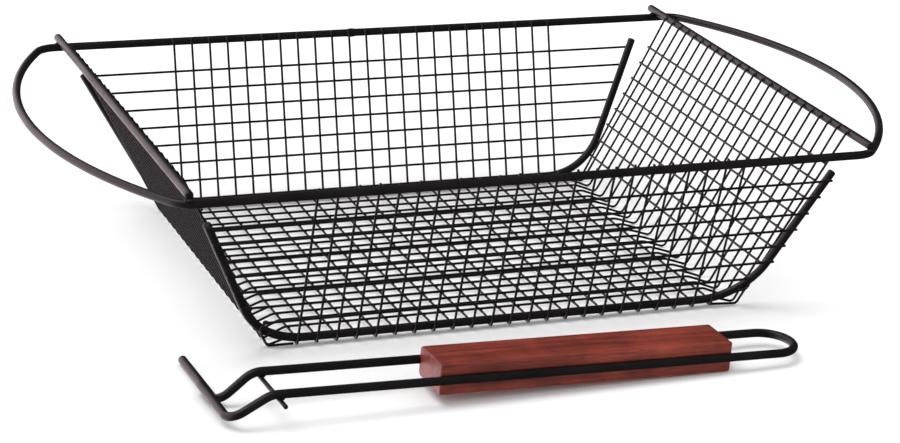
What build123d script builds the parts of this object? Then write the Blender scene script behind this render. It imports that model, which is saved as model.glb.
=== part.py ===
from build123d import *
import os
from math import acos, asin, atan2, cos, degrees, hypot, pi, radians, sin, sqrt, tan

# Welded wire grill basket with a loose wooden-grip lifting handle.
# Frame: +X right along the basket, +Y to the back, +Z up, origin on the rest
# plane under the middle of the basket. The handle lies in front of the basket.
# All sizes in millimetres, angles in degrees unless noted.

FRONT, BACK = -1, 1       # sign of Y
LEFT, RIGHT = -1, 1       # sign of X
METAL = (0.06, 0.055, 0.055)
WOOD = (0.42, 0.16, 0.12)

# ---------------------------------------------------------------- stock
ROD_D = 5.0               # heavy rod: rim, crossbars, side rods, handle
WIRE_D = 1.5              # mesh wire
STOP_WIRE_D = 2.6         # thin wire across the handle hook
GAP = 0.02                # clearance left at every welded contact
ROD_R = ROD_D / 2
TOUCH = ROD_R + WIRE_D / 2 + GAP    # rod axis to mesh wire axis
WIRE_STEP = WIRE_D + GAP            # between the axes of two touching mesh wires

# ---------------------------------------------------------------- rim and crossbars
RIM_HALF_Y = 156.2        # long rails, from the middle
RIM_Z = 103.65            # rim wire axis height
RIGHT_BOW = (23.7, 9.3, 248.5)    # bow handle: arc centre x, arc centre y, radius
LEFT_BOW = (-28.2, 6.0, 291.6)    # the same, with x measured towards -X
BOW_CORNER_R = 15.5       # tight bend between long rail and bow
BAR_HALF_X = 210.0        # crossbars, from the middle
BAR_FRONT_Y = -156.6
BAR_BACK_Y = 163.0        # stands past the rim
BAR_DOME = ROD_R * 0.8    # rounding of the crossbar ends
BAR_Z = RIM_Z + ROD_D + GAP

# ---------------------------------------------------------------- side rods
BOTTOM_ROD_HALF_Y = 121.05    # centre of the wire wrap round the bottom run
BOTTOM_ROD_Z = 4.7
ROD_INSET = 0.20          # bottom run, inward from the wrap centre
ARM_BEND_R = 44.0
# (side, end): x from the middle where the arm line meets the bottom height,
# arm run in X per millimetre of height, height of the free top end
ARM_TABLE = {
    (FRONT, LEFT): (158.7, 0.465, 88.0),
    (FRONT, RIGHT): (149.9, 0.465, 91.5),
    (BACK, LEFT): (151.0, 0.557, 88.0),
    (BACK, RIGHT): (149.9, 0.465, 91.5),
}

# ---------------------------------------------------------------- transverse wires
N_TRANS = 23
TRANS_PITCH = 12.0
TRANS_X0 = -3.6           # the wire row sits slightly off the middle
MESH_EDGE_Y = 108.0       # the wires hang in an arc from here inwards,
MESH_EDGE_Z = 4.66        # its ends at this height,
SAG = 1.28                # and its middle this much lower
RISE_ANGLE = 30.0         # they come up from under the side rods at this slope
RISE_BEND_R = 5.0
TIP_ABOVE_RIM = 3.4       # tips, above the rim axis

# ---------------------------------------------------------------- long wires
N_INNER = 22
LONG_PITCH = 11.19        # inner wires, at the bottom
LONG_FAN = 1.014          # their y at the tips, as a multiple of y at the bottom
BEND_Z = WIRE_D / 2       # lowest point of the axis, in the bottom bends
BOTTOM_LEFT_X = 152.4     # where the wires turn up into the left end panel
BOTTOM_RIGHT_X = 146.8    # and into the right one
RUN_LEFT_X = 138.0        # the bottom run is level up to here, then dips to the bend
RUN_RIGHT_X = 131.5
LONG_BEND_R = 3.0
DIP_BEND_R = 8.0
OUTER_BEND_LEFT_Y = 119.3     # outermost pair: at the bottom bends,
OUTER_BEND_RIGHT_Y = 121.8
OUTER_TOP_Y = 131.0           # and fanned out at the crossbars
TIP_ABOVE_BAR = 1.6       # tips, above the crossbar axis

# ---------------------------------------------------------------- panel wires
N_SIDE = 7
# label, side, first wire down the slope from the rim, pitch
SIDE_PANELS = (
    ("front", FRONT, 18.8, 11.55),
    ("back", BACK, 19.55, 11.93),
)
SIDE_OVERHANG = 2.2       # past the arm axis
HOOK_RIGHT_X = 146.6      # lowest front panel wire: level up to here,
HOOK_LEFT_X = 155.4
HOOK_WIRE_R = 4.1         # then curled under, on the outside of the side rod
HOOK_WIRE_TURN = 210.0
N_CROSS = 8
CROSS_FIRST = 23.3        # from the crossbar, down the slope
CROSS_PITCH = 12.05
CROSS_OVERHANG = 0.4      # past the axis of the outermost long wire
CROSS_CLEARANCE = 0.05    # extra room where a side rod bends past
CROSS_TRIM = 0.05         # step in which a cross wire is shortened

# ---------------------------------------------------------------- handle
ROD_SPACING = 32.6        # between the two legs
GRIP_L = 181.0
GRIP_W = 31.5
GRIP_T = 18.0
GRIP_ROUND = 3.2          # both long back edges
GRIP_CHAMFER = 0.8        # both long front edges
GRIP_BORE_PLAY = 0.05     # radial, round each leg
LOOP_X = 122.0            # centre of the hairpin loop, from mid grip
HOOK_TOP_X = -188.4       # where the legs start down
HOOK_X = -211.1           # cross piece
HOOK_DROP = 13.1
HOOK_TOP_R = 15.0
HOOK_LOW_R = 9.0
HOOK_ROD_GAP = 0.05       # between cross piece and tail
CROSS_END_Y = 37.2        # end of the near leg's cross piece
TAIL_END_Y = 80.7         # end of the far leg's tail
STOP_X = -183.0
STOP_Y0, STOP_Y1 = -25.8, 18.4
STOP_DOME = 0.5
HANDLE_X, HANDLE_Y, HANDLE_YAW = 4.4, -205.7, 1.70   # where it lies
HANDLE_LIFT = 0.02        # clearance over the rest plane


# ---------------------------------------------------------------- helpers
def edges_from(runs):
    """A line for each run of two points, an arc for each run of three."""
    return [Edge.make_line(*run) if len(run) == 2 else Edge.make_three_point_arc(*run)
            for run in runs]


def fillet_path(points, radii):
    """Edges of a polyline whose inner corners are rounded by circular arcs."""
    points = [Vector(*p) for p in points]
    runs = []
    start = points[0]
    for before, corner, after, radius in zip(points, points[1:], points[2:], radii):
        to_before = (before - corner).normalized()
        to_after = (after - corner).normalized()
        half = acos(max(-1.0, min(1.0, to_before.dot(to_after)))) / 2
        setback = radius / tan(half)
        arc_start = corner + to_before * setback
        arc_end = corner + to_after * setback
        centre = corner + (to_before + to_after).normalized() * (radius / sin(half))
        arc_mid = centre + (corner - centre).normalized() * radius
        runs += [(start, arc_start), (arc_start, arc_mid, arc_end)]
        start = arc_end
    runs.append((start, points[-1]))
    # neighbouring bends may leave no straight between them
    return edges_from(run for run in runs if (run[-1] - run[0]).length > 1e-4)


def tube(edges, diameter):
    """Round rod swept along joined edges."""
    path = Wire(edges)
    section = Plane(origin=path @ 0, z_dir=path % 0) * Circle(diameter / 2)
    return sweep(section, path=path)


def straight(start, end, diameter, dome=0.0):
    """Straight rod; dome rounds both end edges."""
    start, end = Vector(*start), Vector(*end)
    plane = Plane(origin=(start + end) / 2, z_dir=(end - start))
    rod = plane * Cylinder(diameter / 2, (end - start).length)
    if dome > 0:
        rod = fillet(rod.edges().filter_by(GeomType.CIRCLE), dome)
    return rod


def node(name, shape, colour=METAL):
    shape.label = name
    shape.color = Color(*colour)
    export_step(shape, f"parts/{name}.step")


def group(name, shapes):
    node(name, Compound(children=[solid for shape in shapes for solid in shape.solids()]))


os.makedirs("parts", exist_ok=True)


# ---------------------------------------------------------------- rim wire
def rim_half(end, bow):
    """Half of the rim at one end: back rail, corner, bow arc, corner, front rail."""
    centre_x, centre_y, radius = bow

    def at(x, y):
        return Vector(end * x, y, RIM_Z)

    def corner(side):
        """Corner bend, from the rail to the bow."""
        y = side * (RIM_HALF_Y - BOW_CORNER_R)
        x = centre_x + sqrt((radius - BOW_CORNER_R) ** 2 - (y - centre_y) ** 2)
        bow_angle = atan2(y - centre_y, x - centre_x)
        mid_angle = (bow_angle + side * pi / 2) / 2
        return [at(x, side * RIM_HALF_Y),
                at(x + BOW_CORNER_R * cos(mid_angle), y + BOW_CORNER_R * sin(mid_angle)),
                at(centre_x + radius * cos(bow_angle), centre_y + radius * sin(bow_angle))]

    back, front = corner(BACK), corner(FRONT)
    return edges_from([
        (at(0, RIM_HALF_Y), back[0]),
        back,
        (back[2], at(centre_x + radius, centre_y), front[2]),
        front[::-1],
        (front[0], at(0, -RIM_HALF_Y)),
    ])


node("rim_wire", tube(rim_half(RIGHT, RIGHT_BOW), ROD_D) + tube(rim_half(LEFT, LEFT_BOW), ROD_D))

# ---------------------------------------------------------------- crossbars
for label, end in (("left", LEFT), ("right", RIGHT)):
    x = end * BAR_HALF_X
    node(f"{label}_crossbar",
         straight((x, BAR_FRONT_Y, BAR_Z), (x, BAR_BACK_Y, BAR_Z), ROD_D, BAR_DOME))

# ---------------------------------------------------------------- side panel plane
# The transverse wires run from the outer side of the bottom rod to the inner
# side of the rim: the crossing tangent of two circles of radius TOUCH.
panel_run = RIM_HALF_Y - BOTTOM_ROD_HALF_Y
panel_rise = RIM_Z - BOTTOM_ROD_Z
lean = atan2(panel_rise, panel_run) + asin(2 * TOUCH / hypot(panel_run, panel_rise))
up_y, up_z = cos(lean), sin(lean)             # up the slope
out_y, out_z = sin(lean), -cos(lean)          # outward from the panel
rim_touch_y, rim_touch_z = RIM_HALF_Y - TOUCH * out_y, RIM_Z - TOUCH * out_z


def side_point(x, down, outward, side):
    """Point in a side panel, a distance down the slope from the rim contact."""
    return (x, side * (rim_touch_y - up_y * down + out_y * outward),
            rim_touch_z - up_z * down + out_z * outward)


def side_point_at(x, z, outward, side):
    """Point in a side panel at height z."""
    return side_point(x, (rim_touch_z + out_z * outward - z) / up_z, outward, side)


# ---------------------------------------------------------------- side rods
PANEL_OFFSET = WIRE_STEP            # panel wires, outward from the transverse wires
ARM_OFFSET = PANEL_OFFSET - TOUCH   # arms, likewise; they lie inside the panel wires


class Arm:
    """Bend and arm at one end of a side rod."""

    def __init__(self, side, end):
        foot_x, spread, top_z = ARM_TABLE[side, end]
        top_x = foot_x + spread * (top_z - BOTTOM_ROD_Z)
        foot = Vector(*side_point_at(end * foot_x, BOTTOM_ROD_Z, ARM_OFFSET, side))
        self.top = Vector(*side_point_at(end * top_x, top_z, ARM_OFFSET, side))
        self.up = (self.top - foot).normalized()
        along = Vector(end, 0, 0)
        turn = acos(along.dot(self.up))
        setback = ARM_BEND_R * tan(turn / 2)
        pull = 4 / 3 * tan(turn / 4) * ARM_BEND_R     # Bezier handle length of an arc
        self.run_end = Vector(end * (foot_x - setback),
                              side * (BOTTOM_ROD_HALF_Y - ROD_INSET * out_y),
                              BOTTOM_ROD_Z - ROD_INSET * out_z)
        self.start = foot + self.up * setback
        self.poles = [self.run_end, self.run_end + along * pull,
                      self.start - self.up * pull, self.start]

    def bend_at(self, t):
        """Point on the bend, t from 0 at the bottom run to 1 at the arm."""
        k = 1 - t
        weights = (k ** 3, 3 * k * k * t, 3 * k * t * t, t ** 3)
        return sum((pole * w for pole, w in zip(self.poles, weights)), Vector(0, 0, 0))

    def x_at(self, z):
        """X of the rod axis at a height on bend or arm."""
        if z >= self.start.Z:
            return self.start.X + self.up.X / self.up.Z * (z - self.start.Z)
        low, high = 0.0, 1.0
        for _ in range(50):
            middle = (low + high) / 2
            if self.bend_at(middle).Z < z:
                low = middle
            else:
                high = middle
        return self.bend_at(low).X


def side_rod(left, right):
    return tube([Edge.make_line(left.top, left.start), Edge.make_bezier(*left.poles[::-1]),
                 Edge.make_line(left.run_end, right.run_end), Edge.make_bezier(*right.poles),
                 Edge.make_line(right.start, right.top)], ROD_D)


arms = {key: Arm(*key) for key in ARM_TABLE}
for label, side in (("front", FRONT), ("back", BACK)):
    node(f"{label}_side_rod", side_rod(arms[side, LEFT], arms[side, RIGHT]))

# ---------------------------------------------------------------- transverse wires
# Down the side outside the rod, round under it, up to the level of the bottom
# mesh, then a shallow hanging arc to the other side.
sag_r = (MESH_EDGE_Y ** 2 + SAG ** 2) / (2 * SAG)
sag_centre_z = MESH_EDGE_Z - SAG + sag_r
sag_slope = asin(MESH_EDGE_Y / sag_r)             # slope of the arc at its ends
rise = radians(RISE_ANGLE)


def wrap_point(angle):
    """Point (y, z) of the wrap round the bottom rod."""
    return BOTTOM_ROD_HALF_Y + TOUCH * cos(angle), BOTTOM_ROD_Z + TOUCH * sin(angle)


wrap_in = lean - pi / 2
wrap_out = -pi / 2 - rise
rise_y, rise_z = wrap_point(wrap_out)             # the rising line starts here

# corner where the rising line meets the arc's end tangent, and its bend
rise_length = (((MESH_EDGE_Z - rise_z) + tan(sag_slope) * (rise_y - MESH_EDGE_Y))
               / (sin(rise) + tan(sag_slope) * cos(rise)))
corner_y, corner_z = rise_y - cos(rise) * rise_length, rise_z + sin(rise) * rise_length
setback = RISE_BEND_R * tan((rise + sag_slope) / 2)
bend_in = (corner_y + cos(rise) * setback, corner_z - sin(rise) * setback)
bend_out = (corner_y - cos(sag_slope) * setback, corner_z - sin(sag_slope) * setback)
bend_mid_angle = pi / 2 - (rise - sag_slope) / 2
bend_mid = (bend_in[0] + RISE_BEND_R * (cos(bend_mid_angle) - sin(rise)),
            bend_in[1] + RISE_BEND_R * (sin(bend_mid_angle) - cos(rise)))

# (y, z) points of one half, from the tip to the end of the hanging arc
TRANS_HALF = [
    side_point_at(0, RIM_Z + TIP_ABOVE_RIM, 0, BACK)[1:],
    wrap_point(wrap_in), wrap_point((wrap_in + wrap_out) / 2), (rise_y, rise_z),
    bend_in, bend_mid, bend_out,
    (MESH_EDGE_Y, MESH_EDGE_Z),
]


def z_trans(y):
    """Height of the transverse wires at a long wire."""
    y = abs(y)
    if y <= MESH_EDGE_Y:
        return sag_centre_z - sqrt(sag_r ** 2 - y ** 2)
    if y <= bend_out[0]:
        return MESH_EDGE_Z + tan(sag_slope) * (y - MESH_EDGE_Y)
    # on the rising line, raised so that the spacing holds square to the slope
    return rise_z + (rise_y - y) * tan(rise) + WIRE_STEP * (1 / cos(rise) - 1)


def transverse(x):
    def half(side):
        p = [Vector(x, side * y, z) for y, z in TRANS_HALF]
        return [p[0:2], p[1:4], p[3:5], p[4:7], p[6:8]]

    front, back = half(FRONT), half(BACK)
    middle = (front[-1][-1], Vector(x, 0, MESH_EDGE_Z - SAG), back[-1][-1])
    return tube(edges_from(front + [middle] + [run[::-1] for run in back[::-1]]), WIRE_D)


trans_x = [TRANS_X0 + (k - (N_TRANS - 1) / 2) * TRANS_PITCH for k in range(N_TRANS)]
group("transverse_wires", [transverse(x) for x in trans_x])


# ---------------------------------------------------------------- end panels
class EndPanel:
    """Line of an end panel in x (away from the middle) and z: from the bottom
    bend up to the inner side of the crossbar."""

    def __init__(self, end, bend_x, run_x, outer_bend_y, last_trans_x):
        self.end, self.bend_x, self.run_x = end, bend_x, run_x
        self.outer_bend_y = outer_bend_y
        self.last_trans_x = abs(last_trans_x)
        run, height = BAR_HALF_X - bend_x, BAR_Z - BEND_Z
        distance = hypot(run, height)
        slope = atan2(height, run) + asin(TOUCH / distance)
        self.up_x, self.up_z = cos(slope), sin(slope)
        self.reach = sqrt(distance ** 2 - TOUCH ** 2)     # bend corner to crossbar contact
        self.top = (height + TIP_ABOVE_BAR) / self.up_z

    def at(self, up, inward=0.0):
        """(x, z) of a point a distance up the panel."""
        return (self.bend_x + self.up_x * up - self.up_z * inward,
                BEND_Z + self.up_z * up + self.up_x * inward)

    def corner(self, run_z, run_x):
        """Position along the panel line of the wire's corner, set so that the
        rounded bend just reaches the rest plane."""
        up = 0.0
        for _ in range(30):
            x, z = self.at(up)
            dip = atan2(run_z - z, x - run_x)
            turn = dip + atan2(self.up_z, self.up_x)
            lowest = z + LONG_BEND_R * tan(turn / 2) * sin(dip) - LONG_BEND_R * (1 - cos(dip))
            up -= (lowest - BEND_Z) / self.up_z
        return up

    def outer_y(self, up):
        """Y of the outermost long wire, a distance up the panel."""
        return self.outer_bend_y + (OUTER_TOP_Y - self.outer_bend_y) * up / self.reach


left_panel = EndPanel(LEFT, BOTTOM_LEFT_X, RUN_LEFT_X, OUTER_BEND_LEFT_Y, trans_x[0])
right_panel = EndPanel(RIGHT, BOTTOM_RIGHT_X, RUN_RIGHT_X, OUTER_BEND_RIGHT_Y, trans_x[-1])


# ---------------------------------------------------------------- long wires
def long_wire(y):
    """Inner wire: lies on the transverse wires and dips to the bends."""
    run_z = z_trans(y) + WIRE_STEP

    def half(panel):
        top_x, top_z = panel.at(panel.top)
        low_x, low_z = panel.at(panel.corner(run_z, panel.run_x))
        return [(panel.end * top_x, y * LONG_FAN, top_z), (panel.end * low_x, y, low_z),
                (panel.end * panel.run_x, y, run_z)]

    return tube(fillet_path(half(left_panel) + half(right_panel)[::-1],
                            [LONG_BEND_R, DIP_BEND_R, DIP_BEND_R, LONG_BEND_R]), WIRE_D)


def outer_wire(panel, side):
    """Outermost wire: turns in under the side rod, ends at the first transverse wire."""
    end_x = panel.last_trans_x + WIRE_STEP
    end_z = BOTTOM_ROD_Z - TOUCH
    low = panel.corner(end_z, end_x)
    top_x, top_z = panel.at(panel.top)
    low_x, low_z = panel.at(low)
    return tube(fillet_path([
        (panel.end * top_x, side * panel.outer_y(panel.top), top_z),
        (panel.end * low_x, side * panel.outer_y(low), low_z),
        (panel.end * end_x, side * BOTTOM_ROD_HALF_Y, end_z),
    ], [LONG_BEND_R]), WIRE_D)


inner_y = [(k - (N_INNER - 1) / 2) * LONG_PITCH for k in range(N_INNER)]
group("longitudinal_wires",
      [long_wire(y) for y in inner_y]
      + [outer_wire(panel, side) for panel in (left_panel, right_panel) for side in (FRONT, BACK)])


# ---------------------------------------------------------------- side panel wires
def hooked_panel_wire(down):
    """Lowest front wire: both ends curl under in the plane of the panel."""
    turn = radians(HOOK_WIRE_TURN)

    def at(end, level_x, angle):
        x = level_x + HOOK_WIRE_R * sin(angle)
        curl_down = down + HOOK_WIRE_R * (1 - cos(angle))
        return Vector(*side_point(end * x, curl_down, PANEL_OFFSET, FRONT))

    left = [at(LEFT, HOOK_LEFT_X, angle) for angle in (turn, turn / 2, 0)]
    right = [at(RIGHT, HOOK_RIGHT_X, angle) for angle in (0, turn / 2, turn)]
    return tube(edges_from([left, (left[-1], right[0]), right]), WIRE_D)


def side_panel_wire(side, down):
    _, y, z = side_point(0, down, PANEL_OFFSET, side)
    return straight((arms[side, LEFT].x_at(z) - SIDE_OVERHANG, y, z),
                    (arms[side, RIGHT].x_at(z) + SIDE_OVERHANG, y, z), WIRE_D)


for label, side, first, pitch in SIDE_PANELS:
    for j in range(N_SIDE):
        down = first + pitch * j
        hooked = side == FRONT and j == N_SIDE - 1
        wire = hooked_panel_wire(down) if hooked else side_panel_wire(side, down)
        node(f"{label}_panel_wire_{j + 1}", wire)


# ---------------------------------------------------------------- end cross wires
# Each reaches just over the outermost long wire; the lowest stop short of the
# side rods where those bend past them.
def clear_half_y(x, z, y, side, end):
    """Half length y, shortened until the wire's end clears the side rod's bend."""
    axis = [arms[side, end].bend_at(i / 200) for i in range(201)]
    while min((Vector(x, side * y, z) - p).length for p in axis) < TOUCH + CROSS_CLEARANCE:
        y -= CROSS_TRIM
    return y


def cross_wire(panel, up):
    x, z = panel.at(up, WIRE_STEP)
    x *= panel.end
    full_y = panel.outer_y(up) + CROSS_OVERHANG
    y = min(clear_half_y(x, z, full_y, side, panel.end) for side in (FRONT, BACK))
    return straight((x, -y, z), (x, y, z), WIRE_D)


for label, panel in (("left", left_panel), ("right", right_panel)):
    for j in range(N_CROSS):
        up = panel.reach - CROSS_FIRST - CROSS_PITCH * j
        node(f"{label}_cross_wire_{j + 1}", cross_wire(panel, up))

# ---------------------------------------------------------------- handle
# Modelled level, legs along X at z=0, then laid down so that the tail of the
# hook and the lower end edge of the grip both come down to the rest plane.
leg_y = ROD_SPACING / 2
tail_step = (ROD_D + HOOK_ROD_GAP) / sqrt(2)     # tail lies diagonally under the cross piece
tail_x, tail_z = HOOK_X + tail_step, -HOOK_DROP - tail_step


def handle_location():
    tilt = degrees(atan2(-GRIP_T / 2 - (tail_z - ROD_R), GRIP_L / 2 - tail_x))
    lay = Location((HANDLE_X, HANDLE_Y, 0), (0, 0, HANDLE_YAW)) * Location((0, 0, 0), (0, tilt, 0))
    grip_edge = lay * Location((GRIP_L / 2, 0, -GRIP_T / 2))
    return Location((0, 0, HANDLE_LIFT - grip_edge.position.Z)) * lay


def leg_path(y, hook_x, hook_z, end_y):
    """Leg from the loop to the hook, then down and across in Y."""
    return fillet_path([(LOOP_X, y, 0), (HOOK_TOP_X, y, 0), (hook_x, y, hook_z),
                        (hook_x, end_y, hook_z)], [HOOK_TOP_R, HOOK_LOW_R])


def handle_rod():
    loop = Edge.make_three_point_arc(Vector(LOOP_X, leg_y, 0), Vector(LOOP_X + leg_y, 0, 0),
                                     Vector(LOOP_X, -leg_y, 0))
    near_leg = tube([loop] + leg_path(-leg_y, HOOK_X, -HOOK_DROP, CROSS_END_Y), ROD_D)
    far_leg = tube(leg_path(leg_y, tail_x, tail_z, TAIL_END_Y), ROD_D)
    return near_leg + far_leg


def handle_stop_wire():
    """Thin wire across the underside of the legs."""
    z = -(ROD_R + STOP_WIRE_D / 2 + GAP)
    return straight((STOP_X, STOP_Y0, z), (STOP_X, STOP_Y1, z), STOP_WIRE_D, STOP_DOME)


def long_edges(block, y):
    """Edges of the block that run along X at y."""
    return block.edges().filter_by(Axis.X).filter_by_position(Axis.Y, y - 0.1, y + 0.1)


def handle_grip():
    grip = Box(GRIP_L, GRIP_W, GRIP_T)
    grip = fillet(long_edges(grip, GRIP_W / 2), GRIP_ROUND)
    grip = chamfer(long_edges(grip, -GRIP_W / 2), GRIP_CHAMFER)
    for side in (FRONT, BACK):
        bore = Cylinder(ROD_R + GRIP_BORE_PLAY, GRIP_L + 2)
        grip -= Pos(0, side * leg_y, 0) * Rot(0, 90, 0) * bore
    return grip


lay = handle_location()
node("handle_rod", lay * handle_rod())
node("handle_stop_wire", lay * handle_stop_wire())
node("handle_grip", lay * handle_grip(), WOOD)
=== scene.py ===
"""An open basket of coated steel rod and wire, with a separate wooden-gripped handle.

The basket stands on the floor at the origin, long in X. Front is -Y and left is -X.
The handle lies on the floor in front of it. Sizes are in mm and meshes are built in
metres. Where both occur, `sx` is -1 left or +1 right, and `side` is -1 front or +1 back.
"""
from math import acos, asin, atan2, ceil, cos, degrees, exp, hypot, pi, radians, sin, sqrt, tan

import bmesh
import bpy
import numpy as np
from mathutils import Matrix, Vector


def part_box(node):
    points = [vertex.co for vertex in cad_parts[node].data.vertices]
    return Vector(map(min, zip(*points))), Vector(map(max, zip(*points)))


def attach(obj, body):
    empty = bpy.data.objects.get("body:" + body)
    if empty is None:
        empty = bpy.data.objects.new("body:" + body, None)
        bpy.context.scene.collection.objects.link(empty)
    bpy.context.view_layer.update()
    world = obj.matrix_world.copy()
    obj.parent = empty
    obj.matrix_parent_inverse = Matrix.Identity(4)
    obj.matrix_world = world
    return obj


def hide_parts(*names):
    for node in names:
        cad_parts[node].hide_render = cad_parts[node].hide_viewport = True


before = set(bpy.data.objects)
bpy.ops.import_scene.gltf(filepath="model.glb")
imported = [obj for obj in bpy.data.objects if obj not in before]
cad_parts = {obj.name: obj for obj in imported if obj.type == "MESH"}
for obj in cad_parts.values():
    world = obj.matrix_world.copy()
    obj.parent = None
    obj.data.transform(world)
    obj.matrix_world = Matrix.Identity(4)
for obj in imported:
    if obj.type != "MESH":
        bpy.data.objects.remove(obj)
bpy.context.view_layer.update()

MM = 0.001
rng = np.random.default_rng(7)


def node_box(node):
    low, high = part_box(node)
    return np.array(low) * 1000, np.array(high) * 1000


# ------------------------------------------------------------------ basket sizes, mm
rim_low, rim_high = node_box("rim_wire")
wire_low, wire_high = node_box("front_panel_wire_1")
bar_low, bar_high = node_box("right_crossbar")

ROD_D = round(float(rim_high[2] - rim_low[2]), 1)
ROD_R = ROD_D / 2
WIRE_D = round(float(wire_high[2] - wire_low[2]), 1)
WIRE_R = WIRE_D / 2
GAP = 0.02                               # air between touching wires
TOUCH = ROD_R + WIRE_R + GAP             # axis distance of a wire lying on a rod
WIRE_STEP = WIRE_D + GAP                 # axis distance of a wire lying on a wire

# rim and the crossbars lying on it
RIM_HALF_Y = round(float(rim_high[1]) - ROD_R, 1)
RIM_Z = round(float(rim_high[2] + rim_low[2]) / 2, 2)
RIGHT_BOW = (23.7, 9.3, 248.5)           # bowed end: centre out along sx, centre y, radius
LEFT_BOW = (-28.2, 6.0, 291.6)
BOW_CORNER_R = 15.5
BAR_HALF_X = round(float(bar_high[0]) - ROD_R, 1)
BAR_FRONT_Y, BAR_BACK_Y = float(bar_low[1]), float(bar_high[1])
BAR_Z = RIM_Z + ROD_D + GAP

# butt weld of the rim, in the back rail
WELD_X, WELD_HEIGHT, WELD_SPREAD = -13.0, 0.42, 2.2
WELD_REACH = 14                          # the rod swells within this of the weld
WELD_FINE_REACH, WELD_SPLITS = 9, 6      # closer rings near the weld

# side rods: a straight bottom run and two arms
BOTTOM_ROD_HALF_Y, BOTTOM_ROD_Z = 121.05, 4.7
ROD_INSET = 0.20
ARM_RIGHT_X, ARM_LEFT_X, ARM_BACK_LEFT_X = 149.9, 158.7, 151.0
ARM_LEAN, ARM_BACK_LEFT_LEAN = 0.465, 0.557     # outward run per mm of height
ARM_RIGHT_TOP_Z, ARM_LEFT_TOP_Z = 91.5, 88.0
ARM_BEND_R = 44.0
ARM_OFFSET = WIRE_D + GAP - TOUCH

# transverse wires: rim, under the bottom rod, hanging floor, rim
N_TRANS, TRANS_PITCH, TRANS_X0 = 23, 12.0, -3.6
MESH_EDGE_Y, MESH_EDGE_Z, SAG = 108.0, 4.66, 1.28
RISE, RISE_BEND_R = radians(30.0), 5.0
TIP_Z = RIM_Z + 3.4
TRANS_X = [TRANS_X0 + (k - (N_TRANS - 1) / 2) * TRANS_PITCH for k in range(N_TRANS)]

# longitudinal wires: crossbar to crossbar, the outermost ones only at the ends
N_LONG, LONG_PITCH, LONG_FAN = 24, 11.19, 1.014
LONG_Z = WIRE_R
LONG_BEND_R, DIP_BEND_R = 3.0, 8.0
PANEL_LEFT_X, PANEL_RIGHT_X = 152.4, 146.8
RUN_LEFT_X, RUN_RIGHT_X = 138.0, 131.5
OUTER_BEND_LEFT_Y, OUTER_BEND_RIGHT_Y, OUTER_TOP_Y = 119.3, 121.8, 131.0
TIP_ABOVE_BAR = 1.6
INNER_Y = [(m - (N_LONG - 3) / 2) * LONG_PITCH for m in range(N_LONG - 2)]

# straight wires along the four walls
N_SIDE = 7
SIDE_WALLS = (("front", -1, 18.8, 11.55), ("back", 1, 19.55, 11.93))  # label, side, first, pitch
SIDE_OVERHANG = 2.2
CURL_RIGHT_X, CURL_LEFT_X, CURL_R, CURL_TURN = 146.6, 155.4, 4.1, 210.0
CURL_WELD_OUT = 1.5
N_CROSS, CROSS_FIRST, CROSS_PITCH = 8, 23.3, 12.05

# meshing
ROD_SIDES, WIRE_SIDES = 20, 10
WIRE_END_ROUND = 0.45                    # edge round of a sawn end, as a share of the radius


# ------------------------------------------------------------------ path tools
def vec(*values):
    return np.array(values, float)


def unit(v):
    return v / np.linalg.norm(v)


def sample_line(start, end, step):
    n = max(1, int(ceil(np.linalg.norm(end - start) / step)))
    return [start + (end - start) * (i / n) for i in range(n + 1)]


def sample_arc(start, mid, end, step_deg):
    """Points on the circle through three points, from start to end."""
    chord_mid, chord_end = mid - start, end - start
    normal = unit(np.cross(chord_mid, chord_end))
    half_mid, half_end = (start + mid) / 2, (start + end) / 2
    to_mid, to_end = np.cross(normal, chord_mid), np.cross(normal, chord_end)
    system = np.stack([to_mid, -to_end], 1)
    centre = half_mid + to_mid * np.linalg.lstsq(system, half_end - half_mid, rcond=None)[0][0]
    r = np.linalg.norm(start - centre)
    x_axis = unit(start - centre)
    y_axis = np.cross(normal, x_axis)
    turn = atan2((end - centre) @ y_axis, (end - centre) @ x_axis) % (2 * pi)
    n = max(2, int(ceil(degrees(turn) / step_deg)))
    return [centre + r * (x_axis * cos(turn * i / n) + y_axis * sin(turn * i / n))
            for i in range(n + 1)]


def join(*runs):
    """One path from several runs, without repeated points."""
    out = [runs[0][0]]
    for run in runs:
        for p in run:
            if np.linalg.norm(p - out[-1]) > 1e-4:
                out.append(p)
    return np.array(out)


def fillet_path(corners, radii, step, step_deg):
    """Polyline with each inner corner rounded to its radius."""
    points = [np.array(p, float) for p in corners]
    runs, start = [], points[0]
    for before, corner, after, r in zip(points, points[1:], points[2:], radii):
        u, v = unit(before - corner), unit(after - corner)
        half = acos(max(-1, min(1, float(u @ v)))) / 2
        tangent = r / tan(half)
        arc_start, arc_end = corner + u * tangent, corner + v * tangent
        centre = corner + unit(u + v) * (r / sin(half))
        mid = centre + unit(corner - centre) * r
        if np.linalg.norm(arc_start - start) > 1e-3:
            runs.append(sample_line(start, arc_start, step))
        runs.append(sample_arc(arc_start, mid, arc_end, step_deg))
        start = arc_end
    if np.linalg.norm(points[-1] - start) > 1e-3:
        runs.append(sample_line(start, points[-1], step))
    return join(*runs)


def bezier(p0, p1, p2, p3, n):
    t = np.linspace(0, 1, n + 1)[:, None]
    k = 1 - t
    return list(p0 * k ** 3 + p1 * 3 * k * k * t + p2 * 3 * k * t * t + p3 * t ** 3)


# ------------------------------------------------------------------ mesh tools
class MeshParts:
    """Collects closed shells, then makes one object of them."""

    def __init__(self):
        self.verts, self.faces, self.count = [], [], 0

    def add(self, verts, faces):
        self.verts.append(np.asarray(verts, float))
        self.faces += [tuple(i + self.count for i in face) for face in faces]
        self.count += len(verts)

    def make(self, name):
        mesh = bpy.data.meshes.new(name)
        mesh.from_pydata((np.vstack(self.verts) * MM).tolist(), [], self.faces)
        mesh.validate()
        mesh.update()
        mesh.polygons.foreach_set("use_smooth", [True] * len(mesh.polygons))
        return link_object(name, mesh)


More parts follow.
